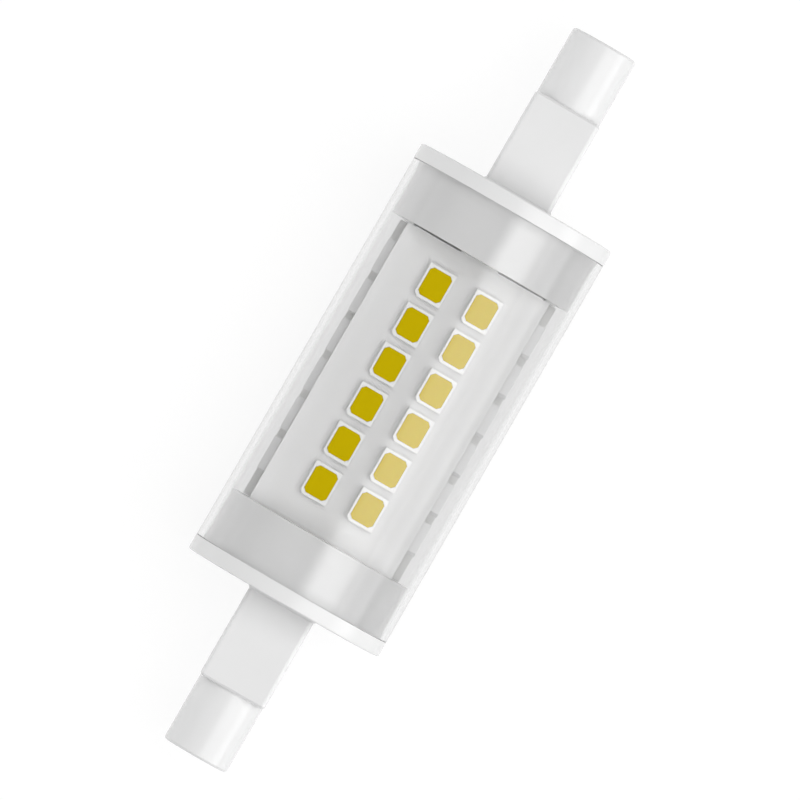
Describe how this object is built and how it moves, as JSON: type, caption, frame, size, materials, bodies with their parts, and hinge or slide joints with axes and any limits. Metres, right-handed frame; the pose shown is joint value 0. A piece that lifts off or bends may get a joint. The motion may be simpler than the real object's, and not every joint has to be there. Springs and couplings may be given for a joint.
{
  "type": "linear led bulb",
  "caption": "Double-ended linear LED bulb: a clear tube over a box of white LED boards, with white end caps, rectangular arms and round ends that hold recessed contacts.",
  "frame": {"origin": "middle of the lamp, on its axis", "axes": "+X along the lamp towards the right end cap, +Z out of the front LED board"},
  "size_m": [0.078, 0.0208, 0.0208],
  "materials": {
    "clear_tube": "clear extruded tube, polished",
    "white_moulding": "satin white moulding",
    "contact_metal": "nickel plated, turned",
    "lead_sleeve": "white silicone sleeve",
    "white_board": "white solder mask",
    "led_body": "white moulded package",
    "led_gel": "yellow phosphor in clear silicone",
    "driver_board": "green solder mask on glass laminate",
    "tinned_wire": "tinned",
    "black_moulding": "moulded black epoxy",
    "capacitor_sleeve": "shrunk plastic sleeve on an aluminium can",
    "resistor_coat": "fired enamel coat",
    "ferrite": "sintered ferrite",
    "copper_wire": "enamelled copper"
  },
  "bodies": {
    "root": {"back_led_board": "white_board", "back_led_bodies": "led_body", "back_led_gels": "led_gel", "capacitor_wires": "tinned_wire", "chip_leads": "tinned_wire", "choke_core": "ferrite", "choke_winding": "copper_wire", "clear_tube": "clear_tube", "diode_leads": "tinned_wire", "driver_board": "driver_board", "driver_chip": "black_moulding", "far_side_led_board": "white_board", "far_side_led_bodies": "led_body", "far_side_led_gels": "led_gel", "freewheel_diode": "black_moulding", "front_led_board": "white_board", "front_led_far_1_body": "led_body", "front_led_far_1_gel": "led_gel", "front_led_far_2_body": "led_body", "front_led_far_2_gel": "led_gel", "front_led_far_3_body": "led_body", "front_led_far_3_gel": "led_gel", "front_led_far_4_body": "led_body", "front_led_far_4_gel": "led_gel", "front_led_far_5_body": "led_body", "front_led_far_5_gel": "led_gel", "front_led_far_6_body": "led_body", "front_led_far_6_gel": "led_gel", "front_led_near_1_body": "led_body", "front_led_near_1_gel": "led_gel", "front_led_near_2_body": "led_body", "front_led_near_2_gel": "led_gel", "front_led_near_3_body": "led_body", "front_led_near_3_gel": "led_gel", "front_led_near_4_body": "led_body", "front_led_near_4_gel": "led_gel", "front_led_near_5_body": "led_body", "front_led_near_5_gel": "led_gel", "front_led_near_6_body": "led_body", "front_led_near_6_gel": "led_gel", "fusible_resistor": "resistor_coat", "left_contact": "contact_metal", "left_end_cap": "white_moulding", "left_supply_lead": "lead_sleeve", "link_pins": "tinned_wire", "near_side_led_board": "white_board", "near_side_led_bodies": "led_body", "near_side_led_gels": "led_gel", "rectifier": "black_moulding", "rectifier_leads": "tinned_wire", "resistor_caps": "tinned_wire", "right_contact": "contact_metal", "right_end_cap": "white_moulding", "right_supply_lead": "lead_sleeve", "sense_resistors": "black_moulding", "smoothing_capacitor": "capacitor_sleeve", "solder_tags": "tinned_wire"}
  },
  "joints": []
}
